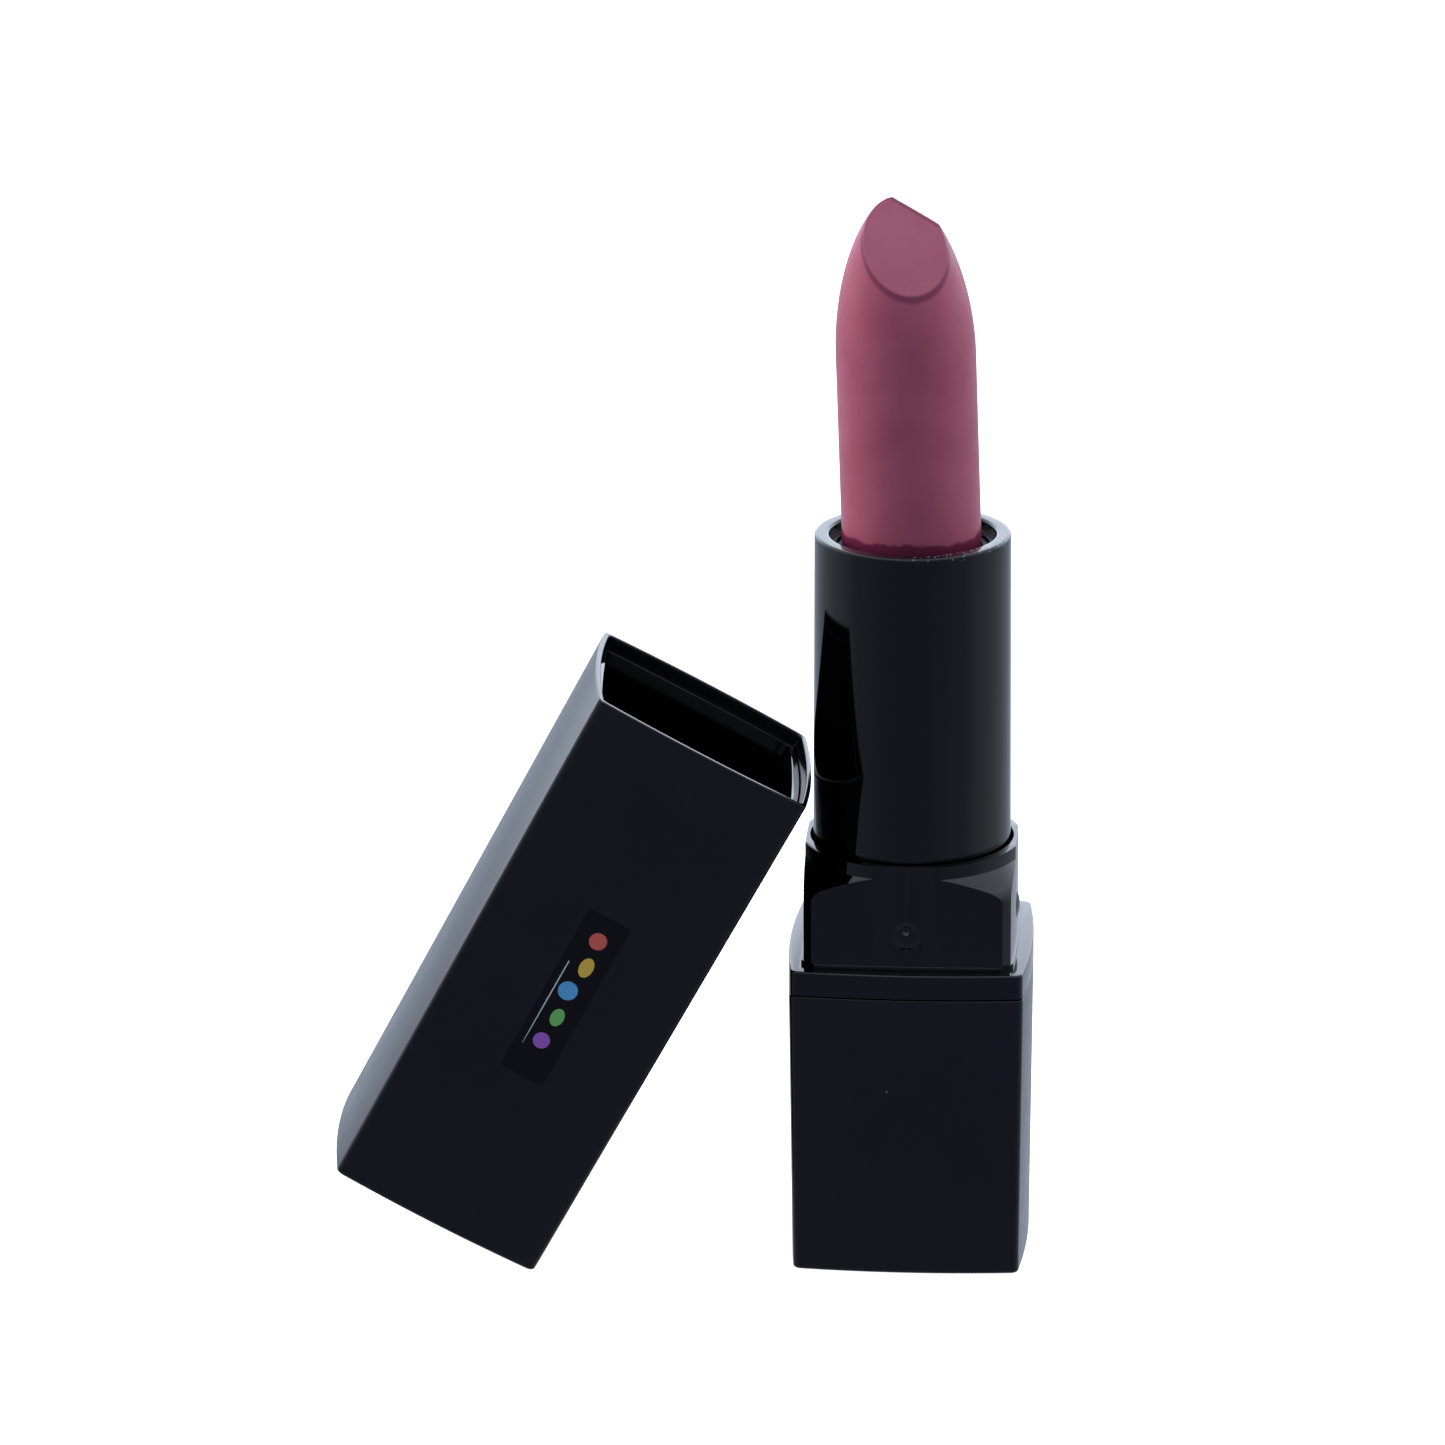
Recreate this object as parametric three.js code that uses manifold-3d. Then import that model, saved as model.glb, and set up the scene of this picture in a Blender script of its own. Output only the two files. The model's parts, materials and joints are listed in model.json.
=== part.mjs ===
// A square lipstick case with its cap off: the cap leans on the round tube, and the bullet is wound out.
// Millimetres, +Z up. The origin is the middle of the base's foot, and the base's front faces -Y.
import * as THREE from "three";
import { mergeVertices } from "three/addons/utils/BufferGeometryUtils.js";
import Module from "manifold-3d";

const wasm = await Module();
wasm.setup();

// Clearances.
const SEAT_GAP = 0.1; // between pieces that are glued or pressed together
const WAX_GAP = 0.1; // between the bullet and the cup that grips it
const RUN_GAP = 0.1; // between sleeves that turn in each other
const SLIDE_GAP = 0.15; // round the carrier, and along what slides on
const LUG_GAP = 0.22; // round each lug, in its slot and in its groove
const TUBE_GAP = 0.27; // between the round tube and the collar that it turns in
const LEAN_GAP = 0.12; // between the leaning cap and the tube
const SEAM_GAP = 0.2; // the fine line between the base shell and the collar's flange

// The case: a square with crowned sides and small round corners.
// Half widths run from the axis to the middle of a side.
const CASE_CROWN = 0.54; // how far the middle of a side stands out past its corners
const CASE_CORNER = 0.4;
const BASE_DRAFT = 0.26; // how much narrower the foot is than the flange
const FOOT_EDGE = 0.35;
const BASE_HEIGHT = 25.2;
const BASE_WALL = 1.05;
const BASE_FLOOR = 1.5;

// The collar: flange, square neck that the cap pushes onto, and the round ring at its top.
const FLANGE_STEP = 1.45; // from the neck's sides out to the flange's
const FLANGE_HEIGHT = 2.2;
const FLANGE_EDGE = 0.15;
const PLINTH_HEIGHT = 0.4;
const PLINTH_STEP = 0.2;
const NECK_WALL = 0.3; // where the flat sides come closest to the tube
const NECK_CROWN = 0.25;
const NECK_CORNER = 0.3;
const NECK_REACH = 3; // from the middle of a flat side out to the round corners
const NECK_HEIGHT = 9.4;
const RING_WALL = 0.72;
const RING_HEIGHT = 1.15;
const SHOULDER_SLOPE = THREE.MathUtils.degToRad(31);
const SHOULDER_ROUND = 1.4; // where the shoulder turns down into the round corners
const SKIRT_DEPTH = 4.2;
const BEAD_RADIUS = 1.2;
const BEAD_HEIGHT = 0.2;
const BEAD_DROP = 6.3; // from the neck's top

// The round tube and what turns with it.
const TUBE_WALL = 0.4; // at the rim, above the lip's foot
const TUBE_DRAFT = 0.13; // how much wider the tube is at its foot
const TUBE_REACH = 27.3; // from the collar to the rim
const LIP_REACH = 1.3;
const LIP_HEIGHT = 0.9;
const RIM_ROUND = 0.35;
const SLEEVE_WALL = 0.75;
const GROOVE_DEPTH = 0.55;
const TURNS = 1.75;

// The guide, the carrier and the bullet.
const GUIDE_WALL = 0.45;
const GUIDE_FLOOR = 2;
const GUIDE_FOOT_HEIGHT = 2;
const PLUG_RADIUS = 5.2;
const PLUG_LENGTH = 9.5;
const PLUG_RIB = 0.3;
const PLUG_RIBS = 12;
const CARRIER_WALL = 0.4;
const CARRIER_HEIGHT = 8.3;
const CARRIER_FLOOR = 0.6;
const CARRIER_SUNK = 1.3; // the carrier's rim below the tube's
const TRAVEL = 31;
const LUG_RADIUS = 0.9;
const LUG_RISE = 3; // from the carrier's foot to the middle of a lug
const BULLET_RADIUS = 6;
const BULLET_OUT = 15.9; // straight part above the tube's rim
const NOSE_HEIGHT = 13.87;
const NOSE_ALONG = 1.92; // the two powers that shape the nose
const NOSE_ACROSS = 0.58;
// The slanted face, and a small second cut beside its tip. Each cut's rise is where its plane meets
// the axis, above the tube's rim.
const CUT_TILT = THREE.MathUtils.degToRad(45.4);
const CUT_TURN = THREE.MathUtils.degToRad(11.9);
const CUT_RISE = 27.35;
const TRIM_TILT = THREE.MathUtils.degToRad(32.1);
const TRIM_TURN = THREE.MathUtils.degToRad(111.8);
const TRIM_RISE = 28.94;
const SEAL_SECTION = 0.84;
const SEAL_GAP = 0.12;

// The base's inside.
const SOCKET_WALL = 1;
const SOCKET_FLOOR = 1;
const WEB_WIDTH = 1.2;

// The cap.
const CAP_LENGTH = 49;
const CAP_DRAFT = 0.36; // how much narrower the closed end is than the mouth
const CAP_EDGE = 0.4;
const CAP_WALL = 0.5;
const CAP_END_WALL = 1.5;
const MOUTH_FLARE = 0.2;
const LINER_SUNK = 1.2; // the liner's rim below the cap's
const LINER_END_WALL = 0.8;
const LINER_DRAFT = 0.35; // how much narrower its bore is at the closed end
const LABEL_LENGTH = 16.2;
const LABEL_WIDTH = 4.05;
const LABEL_THICK = 0.12;
const LABEL_LIFT = 0.03;
const LABEL_ALONG = 24.05; // from the closed end to the label's middle
const LABEL_ACROSS = 0.1;
const CAP_LEAN = THREE.MathUtils.degToRad(28.88);
const CAP_TURN = THREE.MathUtils.degToRad(3.78);
const CAP_FORWARD = -3.235;

// How finely round things are cut.
const ROUND_SIDES = 64;
const SMALL_SIDES = 24;
const CURVE_STEPS = 8;
const EDGE_STEPS = 4;
const GROOVE_STEPS_PER_TURN = 40;
const LEAN_STEPS = 200; // levels of the cap that are tried against the upright case
const OVER = 1; // how far a cutter runs past what it cuts

// Heights and radii that follow from the sizes above.
const carrierBore = BULLET_RADIUS + WAX_GAP;
const carrierRadius = carrierBore + CARRIER_WALL;
const guideBore = carrierRadius + SLIDE_GAP;
const guideRadius = guideBore + GUIDE_WALL;
const sleeveBore = guideRadius + RUN_GAP;
const sleeveRadius = sleeveBore + SLEEVE_WALL;
const tubeBore = sleeveRadius + SEAT_GAP;
const tubeRadius = tubeBore + TUBE_WALL;
const tubeFootRadius = tubeRadius + TUBE_DRAFT;
const lipRadius = tubeRadius - LIP_REACH;
const collarBore = tubeFootRadius + TUBE_GAP;
const ringRadius = collarBore + RING_WALL;
const neckHalf = collarBore + NECK_WALL;
const neckRound = neckHalf + NECK_REACH;
const caseHalf = neckHalf + FLANGE_STEP;
const footHalf = caseHalf - BASE_DRAFT;
const baseInside = footHalf - BASE_WALL;
const capEndHalf = caseHalf - CAP_DRAFT;
const capBore = capEndHalf - CAP_WALL;
const linerBore = neckHalf + SLIDE_GAP;

const flangeFoot = BASE_HEIGHT + SEAM_GAP;
const flangeTop = flangeFoot + FLANGE_HEIGHT;
const neckTop = flangeTop + NECK_HEIGHT;
const rimHeight = neckTop + TUBE_REACH;
const carrierTop = rimHeight - CARRIER_SUNK;
const carrierFoot = carrierTop - CARRIER_HEIGHT;
const lugHeight = carrierFoot + LUG_RISE;
const lugReach = sleeveBore + GROOVE_DEPTH - RUN_GAP;
const guideTop = rimHeight - LIP_HEIGHT - SLIDE_GAP;
const guideFloorTop = carrierFoot - TRAVEL - SLIDE_GAP;
const guideFoot = guideFloorTop - GUIDE_FLOOR;
const guideFootTop = guideFoot + GUIDE_FOOT_HEIGHT;
const skirtFoot = Math.min(flangeFoot - SKIRT_DEPTH, guideFoot);
const sealHeight = guideFootTop + SEAL_GAP + SEAL_SECTION / 2;
const sleeveFoot = sealHeight + SEAL_SECTION / 2 + SEAL_GAP;
const tubeFoot = guideFootTop + SLIDE_GAP;
const plugFoot = guideFoot - PLUG_LENGTH;
const socketBore = PLUG_RADIUS + PLUG_RIB + SEAT_GAP;
const socketFoot = plugFoot - SEAT_GAP - SOCKET_FLOOR;
const socketTop = skirtFoot - SEAT_GAP;
const slugFoot = BASE_FLOOR + SEAT_GAP;
const slugTop = socketFoot - SEAT_GAP;

const CASE_OUTLINE = { crown: CASE_CROWN, corner: CASE_CORNER };
const NECK_OUTLINE = { crown: NECK_CROWN, corner: NECK_CORNER };

const gloss = { color: 0x0b0c10, roughness: 0.12 };
const satin = { color: 0x14161d, roughness: 0.38 };
const dark = { color: 0x17181b, roughness: 0.4 };
const milky = { color: 0xd9dadd, roughness: 0.45 };
const steel = { color: 0x8f949a, roughness: 0.35, metalness: 1 };
const silicone = { color: 0x2b2d31, roughness: 0.7 };
const wax = { color: 0x925e72, roughness: 0.35 };
const print = { color: 0x050506, roughness: 0.2 };

// A closed three.js geometry as a solid.
function solid(geometry) {
  geometry.deleteAttribute("normal");
  geometry.deleteAttribute("uv");
  const merged = mergeVertices(geometry, 1e-4);
  const mesh = new wasm.Mesh({
    numProp: 3,
    vertProperties: merged.getAttribute("position").array,
    triVerts: new Uint32Array(merged.index.array),
  });
  return new wasm.Manifold(mesh);
}

// A solid as a named mesh in a group.
function addPiece(group, name, made, finish) {
  const { vertProperties, triVerts } = made.getMesh();
  const geometry = new THREE.BufferGeometry();
  geometry.setAttribute("position", new THREE.BufferAttribute(vertProperties, 3));
  geometry.setIndex(new THREE.BufferAttribute(triVerts, 1));
  geometry.computeVertexNormals();
  const mesh = new THREE.Mesh(geometry, new THREE.MeshStandardMaterial(finish));
  mesh.name = name;
  group.add(mesh);
}

// Four crowned sides, joined by round corners that leave each side smoothly.
function crownedSquare(half, { crown, corner }) {
  const reach = half - crown;
  const start = reach - corner;
  const drop = crown * (start / reach) ** 2;
  const slope = (2 * drop) / start;
  const tip = start + (half - drop - start) / (1 + slope);
  const shape = new THREE.Shape().moveTo(-start, drop - half);
  let turn = (x, y) => [x, y];
  for (let side = 0; side < 4; side += 1) {
    shape.quadraticCurveTo(...turn(0, -half - drop), ...turn(start, drop - half));
    shape.quadraticCurveTo(...turn(tip, -tip), ...turn(half - drop, -start));
    const last = turn;
    turn = (x, y) => last(-y, x);
  }
  return shape;
}

// A profile of [half width, height] points, bottom to top, carried round an outline.
function crowned(profile, outline) {
  const layers = profile.length - 1;
  const [[reference]] = profile;
  const settings = { depth: 1, steps: layers, curveSegments: CURVE_STEPS, bevelEnabled: false };
  const geometry = new THREE.ExtrudeGeometry(crownedSquare(reference, outline), settings);
  const place = geometry.getAttribute("position");
  for (let i = 0; i < place.count; i += 1) {
    const [half, height] = profile[Math.round(place.getZ(i) * layers)];
    const scale = half / reference;
    place.setXYZ(i, place.getX(i) * scale, place.getY(i) * scale, height);
  }
  return solid(geometry);
}

function crownedPrism(half, outline, low, high) {
  return crowned([[half, low], [half, high]], outline);
}

// A profile of [radius, height] points, bottom to top on its outer side, turned about Z.
function turned(profile, sides = ROUND_SIDES) {
  const points = profile.map(([radius, height]) => new THREE.Vector2(radius, height));
  return solid(new THREE.LatheGeometry(points, sides).rotateX(Math.PI / 2));
}

function disc(radius, low, high, sides = ROUND_SIDES) {
  return turned([[0, low], [radius, low], [radius, high], [0, high]], sides);
}

function ring(inner, outer, low, high) {
  return turned([[inner, low], [outer, low], [outer, high], [inner, high], [inner, low]]);
}

function block(width, depth, height, x, y, z) {
  return solid(new THREE.BoxGeometry(width, depth, height).translate(x, y, z));
}

// Points of a quarter circle about a centre, from one angle, in equal steps.
function quarter(centreRadius, centreHeight, round, from) {
  return Array.from({ length: EDGE_STEPS + 1 }, (_, i) => {
    const angle = from + (i / EDGE_STEPS) * (Math.PI / 2);
    return [centreRadius + round * Math.cos(angle), centreHeight + round * Math.sin(angle)];
  });
}

function makeBaseShell() {
  const edge = quarter(footHalf - FOOT_EDGE, FOOT_EDGE, FOOT_EDGE, -Math.PI / 2);
  const outside = crowned([...edge, [caseHalf, BASE_HEIGHT]], CASE_OUTLINE);
  const inside = crownedPrism(baseInside, CASE_OUTLINE, BASE_FLOOR, BASE_HEIGHT + OVER);
  return outside.subtract(inside);
}

function makeBaseSlug() {
  return crownedPrism(baseInside - SEAT_GAP, CASE_OUTLINE, slugFoot, slugTop);
}

// The socket: a sleeve on a plate, with webs that reach the base shell's walls.
function makeBaseSocket() {
  const half = baseInside - SEAT_GAP;
  const height = socketTop - socketFoot;
  const middle = (socketTop + socketFoot) / 2;
  const outline = crownedPrism(half, CASE_OUTLINE, socketFoot, socketTop);
  const plate = crownedPrism(half, CASE_OUTLINE, socketFoot, socketFoot + SOCKET_FLOOR);
  const webs = block(4 * half, WEB_WIDTH, height, 0, 0, middle)
    .add(block(WEB_WIDTH, 4 * half, height, 0, 0, middle))
    .intersect(outline);
  const sleeve = disc(socketBore + SOCKET_WALL, socketFoot, socketTop);
  const bore = disc(socketBore, plugFoot - SEAT_GAP, socketTop + OVER);
  return plate.add(webs).add(sleeve).subtract(bore);
}

// The neck's round shell: its corners turn in through the shoulder to the ring.
function makeNeckShell() {
  const shoulderTop = neckTop - RING_HEIGHT;
  const fall = Math.tan(SHOULDER_SLOPE);
  const leave = Math.PI / 2 - SHOULDER_SLOPE;
  const reach = SHOULDER_ROUND * Math.tan(leave / 2);
  const centreHeight = shoulderTop - (neckRound - ringRadius) * fall - reach;
  const bend = Array.from({ length: CURVE_STEPS + 1 }, (_, i) => {
    const angle = (leave * i) / CURVE_STEPS;
    const radius = neckRound - SHOULDER_ROUND * (1 - Math.cos(angle));
    return [radius, centreHeight + SHOULDER_ROUND * Math.sin(angle)];
  });
  return turned([
    [0, flangeFoot],
    [neckRound, flangeFoot],
    ...bend,
    [ringRadius, shoulderTop],
    [ringRadius, neckTop - FLANGE_EDGE],
    [ringRadius - FLANGE_EDGE, neckTop],
    [0, neckTop],
  ]);
}

// Flat sides cut the round shell, and a low plinth stands round their foot.
function makeNeck() {
  const plinthFoot = flangeFoot + FLANGE_EDGE;
  const sides = crownedPrism(neckHalf, NECK_OUTLINE, flangeFoot, neckTop);
  const plinth = crownedPrism(neckHalf + PLINTH_STEP, NECK_OUTLINE, plinthFoot, flangeTop + PLINTH_HEIGHT);
  return sides.add(plinth).intersect(makeNeckShell());
}

// A shallow round bead in the middle of each flat side holds the cap.
function makeBeads() {
  const dome = Array.from({ length: EDGE_STEPS + 1 }, (_, i) => {
    const angle = (i / EDGE_STEPS) * (Math.PI / 2);
    const radius = i === EDGE_STEPS ? 0 : BEAD_RADIUS * Math.cos(angle);
    return [radius, neckHalf + BEAD_HEIGHT * Math.sin(angle)];
  });
  const root = collarBore + SLIDE_GAP;
  const bead = turned([[0, root], [BEAD_RADIUS, root], ...dome], SMALL_SIDES)
    .rotate([90, 0, 0])
    .translate([0, 0, neckTop - BEAD_DROP]);
  return [0, 1, 2, 3].map((side) => bead.rotate([0, 0, 90 * side]));
}

function makeCollar() {
  const edge = quarter(caseHalf - FLANGE_EDGE, flangeTop - FLANGE_EDGE, FLANGE_EDGE, 0);
  const flange = crowned([[caseHalf, flangeFoot], ...edge], CASE_OUTLINE);
  const skirt = crownedPrism(baseInside - SEAT_GAP, CASE_OUTLINE, skirtFoot, flangeTop - FLANGE_EDGE);
  const bore = disc(collarBore, skirtFoot - OVER, neckTop + OVER);
  const beads = makeBeads();
  return beads.reduce((sum, bead) => sum.add(bead), makeNeck().add(flange).add(skirt))
    .subtract(bore);
}

function makeTube() {
  const lipFoot = rimHeight - LIP_HEIGHT;
  const round = RIM_ROUND;
  return turned([
    [tubeBore, tubeFoot],
    [tubeFootRadius, tubeFoot],
    [tubeFootRadius, neckTop],
    ...quarter(tubeRadius - round, rimHeight - round, round, 0),
    ...quarter(lipRadius + round, rimHeight - round, round, Math.PI / 2),
    [lipRadius, lipFoot],
    [tubeBore, lipFoot],
    [tubeBore, tubeFoot],
  ]);
}

// The line that one lug draws on the sleeve: down from its height when out, by TRAVEL in TURNS.
class GrooveLine extends THREE.Curve {
  constructor(radius, startAngle, overrun) {
    super();
    this.radius = radius;
    this.startAngle = startAngle;
    this.overrun = overrun;
  }

  turnAt(t) {
    return THREE.MathUtils.lerp(-this.overrun, TURNS * 2 * Math.PI + this.overrun, t);
  }

  getPoint(t, target = new THREE.Vector3()) {
    const turn = this.turnAt(t);
    const angle = this.startAngle - turn;
    const height = lugHeight - (TRAVEL * turn) / (TURNS * 2 * Math.PI);
    return target.set(this.radius * Math.cos(angle), this.radius * Math.sin(angle), height);
  }

  getPointAt(t, target) {
    return this.getPoint(t, target);
  }

  // The groove's floor faces the axis all the way, so its frames follow the radius.
  computeFrenetFrames(segments) {
    const frames = { tangents: [], normals: [], binormals: [] };
    const fall = TRAVEL / (TURNS * 2 * Math.PI);
    for (let i = 0; i <= segments; i += 1) {
      const angle = this.startAngle - this.turnAt(i / segments);
      const normal = new THREE.Vector3(Math.cos(angle), Math.sin(angle), 0);
      const tangent = new THREE.Vector3(this.radius * normal.y, -this.radius * normal.x, -fall).normalize();
      frames.tangents.push(tangent);
      frames.normals.push(normal);
      frames.binormals.push(new THREE.Vector3().crossVectors(tangent, normal));
    }
    return frames;
  }
}

function makeGroove(startAngle) {
  const half = LUG_RADIUS + LUG_GAP;
  const section = new THREE.Shape([
    new THREE.Vector2(-OVER / 2, -half),
    new THREE.Vector2(GROOVE_DEPTH, -half),
    new THREE.Vector2(GROOVE_DEPTH, half),
    new THREE.Vector2(-OVER / 2, half),
  ]);
  const line = new GrooveLine(sleeveBore, startAngle, (half + LUG_GAP) / sleeveBore);
  const steps = Math.ceil(TURNS * GROOVE_STEPS_PER_TURN);
  return solid(new THREE.ExtrudeGeometry(section, { steps, extrudePath: line, bevelEnabled: false }));
}

function makeSpiralSleeve() {
  return ring(sleeveBore, sleeveRadius, sleeveFoot, guideTop)
    .subtract(makeGroove(0))
    .subtract(makeGroove(Math.PI));
}

// The guide: a thin tube with two long slots, a foot ring, and a ribbed plug for the socket.
function makeGuide() {
  const footRadius = tubeBore;
  const body = turned([
    [0, plugFoot],
    [PLUG_RADIUS, plugFoot],
    [PLUG_RADIUS, guideFoot],
    [footRadius, guideFoot],
    [footRadius, guideFootTop],
    [guideRadius, guideFootTop],
    [guideRadius, guideTop],
    [guideBore, guideTop],
    [guideBore, guideFloorTop],
    [0, guideFloorTop],
  ]);
  const slotHalf = LUG_RADIUS + LUG_GAP;
  const slotFoot = lugHeight - TRAVEL - slotHalf;
  const slotTop = lugHeight + slotHalf;
  const slot = block(4 * guideRadius, 2 * slotHalf, slotTop - slotFoot, 0, 0, (slotTop + slotFoot) / 2);
  const ribLength = PLUG_LENGTH - OVER;
  const rib = block(2 * PLUG_RIB, PLUG_RIB, ribLength, PLUG_RADIUS, 0, guideFoot - ribLength / 2);
  let made = body.subtract(slot);
  for (let i = 0; i < PLUG_RIBS; i += 1) {
    made = made.add(rib.rotate([0, 0, (360 / PLUG_RIBS) * i]));
  }
  return made;
}

function makeSeal() {
  const middle = (guideRadius + tubeBore) / 2;
  return solid(new THREE.TorusGeometry(middle, SEAL_SECTION / 2, CURVE_STEPS, ROUND_SIDES)
    .translate(0, 0, sealHeight));
}

function makeCarrier() {
  const cup = turned([
    [0, carrierFoot],
    [carrierRadius, carrierFoot],
    [carrierRadius, carrierTop],
    [carrierBore, carrierTop],
    [carrierBore, carrierFoot + CARRIER_FLOOR],
    [0, carrierFoot + CARRIER_FLOOR],
  ]);
  const lug = disc(LUG_RADIUS, carrierBore + CARRIER_WALL / 4, lugReach, SMALL_SIDES);
  return cup
    .add(lug.rotate([0, 90, 0]).translate([0, 0, lugHeight]))
    .add(lug.rotate([0, -90, 0]).translate([0, 0, lugHeight]));
}

// A block that takes away everything above a tilted plane.
function bulletCutter(tilt, turn, rise) {
  const size = 6 * BULLET_RADIUS;
  const box = new THREE.BoxGeometry(size, size, size)
    .translate(0, 0, size / 2)
    .rotateX(tilt)
    .rotateZ(turn)
    .translate(0, 0, rimHeight + rise);
  return solid(box);
}

// The bullet: a straight stick whose poured nose is cut to a slanted face.
function makeBullet() {
  const foot = carrierFoot + CARRIER_FLOOR + SEAT_GAP;
  const shoulder = rimHeight + BULLET_OUT;
  const steps = 2 * CURVE_STEPS;
  const nose = Array.from({ length: steps + 1 }, (_, i) => {
    const risen = Math.sin((i / steps) * (Math.PI / 2));
    const radius = i === steps ? 0 : BULLET_RADIUS * (1 - risen ** NOSE_ALONG) ** NOSE_ACROSS;
    return [radius, shoulder + NOSE_HEIGHT * risen];
  });
  return turned([[0, foot], [BULLET_RADIUS, foot], ...nose])
    .subtract(bulletCutter(CUT_TILT, CUT_TURN, CUT_RISE))
    .subtract(bulletCutter(TRIM_TILT, TRIM_TURN, TRIM_RISE));
}

function makeCapShell() {
  const edge = quarter(capEndHalf - CAP_EDGE, CAP_EDGE, CAP_EDGE, -Math.PI / 2);
  const outside = crowned([...edge, [caseHalf, CAP_LENGTH]], CASE_OUTLINE);
  const mouthBore = caseHalf - CAP_WALL;
  const inside = crowned([
    [capBore, CAP_END_WALL],
    [mouthBore, CAP_LENGTH - MOUTH_FLARE],
    [mouthBore + MOUTH_FLARE, CAP_LENGTH],
    [mouthBore + MOUTH_FLARE, CAP_LENGTH + OVER],
  ], CASE_OUTLINE);
  return outside.subtract(inside);
}

function makeCapLiner() {
  const foot = CAP_END_WALL + SEAT_GAP;
  const floor = foot + LINER_END_WALL;
  const top = CAP_LENGTH - LINER_SUNK;
  const outside = crowned([
    [capBore - SEAT_GAP, foot],
    [caseHalf - CAP_WALL - SEAT_GAP, top],
  ], CASE_OUTLINE);
  const inside = crowned([
    [linerBore - LINER_DRAFT, floor],
    [linerBore, top - NECK_HEIGHT],
    [linerBore, CAP_LENGTH],
  ], NECK_OUTLINE);
  return outside.subtract(inside);
}

// The label follows the crowned face that it is stuck on.
function makeCapLabel() {
  const shellAt = (lift) => crowned([
    [capEndHalf + lift, CAP_EDGE],
    [caseHalf + lift, CAP_LENGTH],
  ], CASE_OUTLINE);
  const patch = block(
    LABEL_WIDTH, caseHalf, LABEL_LENGTH, LABEL_ACROSS, -caseHalf, LABEL_ALONG);
  return shellAt(LABEL_LIFT + LABEL_THICK).subtract(shellAt(LABEL_LIFT)).intersect(patch);
}

// How far the upright case stands out towards -X at a height, on the line at a distance y from its axis.
function reachAt(height, y) {
  if (height > neckTop) return Math.sqrt(Math.max(0, (tubeFootRadius + LEAN_GAP) ** 2 - y ** 2));
  if (height > flangeTop) return neckHalf + PLINTH_STEP + LEAN_GAP;
  return caseHalf + LEAN_GAP;
}

// The leaning cap stands on its closed end's rounded edge, and reaches the upright case where it first can.
function placeCap(cap) {
  cap.rotation.set(0, CAP_LEAN, CAP_TURN, "ZYX");
  const pivot = new THREE.Vector3(capEndHalf - CAP_EDGE, 0, CAP_EDGE).applyEuler(cap.rotation);
  cap.position.set(0, CAP_FORWARD, CAP_EDGE - pivot.z);
  const outline = crownedSquare(caseHalf, CASE_OUTLINE).getPoints(CURVE_STEPS);
  const levels = Array.from({ length: LEAN_STEPS }, (_, i) => CAP_LENGTH * (1 - i / LEAN_STEPS));
  const steps = levels
    .flatMap((level) => outline.map(({ x, y }) => new THREE.Vector3(x, y, level)))
    .map((point) => point.applyEuler(cap.rotation).add(cap.position))
    .map(({ x, y, z }) => x + reachAt(z, y));
  cap.position.x = -Math.max(...steps);
}

const lipstick = new THREE.Group();
const cap = new THREE.Group();
lipstick.add(cap);
placeCap(cap);

addPiece(lipstick, "base_shell", makeBaseShell(), satin);
addPiece(lipstick, "base_weight", makeBaseSlug(), steel);
addPiece(lipstick, "base_socket", makeBaseSocket(), milky);
addPiece(lipstick, "collar", makeCollar(), gloss);
addPiece(lipstick, "guide_sleeve", makeGuide(), dark);
addPiece(lipstick, "friction_ring", makeSeal(), silicone);
addPiece(lipstick, "outer_tube", makeTube(), gloss);
addPiece(lipstick, "spiral_sleeve", makeSpiralSleeve(), milky);
addPiece(lipstick, "carrier_cup", makeCarrier(), dark);
addPiece(lipstick, "bullet", makeBullet(), wax);
addPiece(cap, "cap_shell", makeCapShell(), satin);
addPiece(cap, "cap_liner", makeCapLiner(), gloss);
addPiece(cap, "cap_label", makeCapLabel(), print);

export default lipstick;
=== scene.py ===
"""Looks for a square twist-up lipstick: the cap leans on the tube and the bullet is wound out."""
import json
import math

import bmesh
import bpy
from mathutils import Matrix, Vector


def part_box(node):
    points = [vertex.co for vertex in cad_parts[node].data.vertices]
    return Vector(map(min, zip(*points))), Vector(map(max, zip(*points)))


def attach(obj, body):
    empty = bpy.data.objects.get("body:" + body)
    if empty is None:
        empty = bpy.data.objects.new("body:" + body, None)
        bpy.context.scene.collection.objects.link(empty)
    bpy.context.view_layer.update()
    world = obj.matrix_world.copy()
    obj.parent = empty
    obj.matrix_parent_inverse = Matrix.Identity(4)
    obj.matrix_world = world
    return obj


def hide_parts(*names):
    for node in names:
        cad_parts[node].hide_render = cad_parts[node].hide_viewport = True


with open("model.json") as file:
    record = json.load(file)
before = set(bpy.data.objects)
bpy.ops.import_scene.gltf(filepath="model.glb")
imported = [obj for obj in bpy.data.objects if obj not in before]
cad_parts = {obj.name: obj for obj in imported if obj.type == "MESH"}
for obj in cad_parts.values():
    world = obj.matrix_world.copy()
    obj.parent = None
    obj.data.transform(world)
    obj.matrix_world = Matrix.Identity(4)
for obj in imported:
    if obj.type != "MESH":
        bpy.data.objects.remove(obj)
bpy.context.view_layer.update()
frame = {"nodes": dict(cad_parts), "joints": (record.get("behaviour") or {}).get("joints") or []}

MM = 0.001
RIGHT_ANGLE = math.pi / 2

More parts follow.
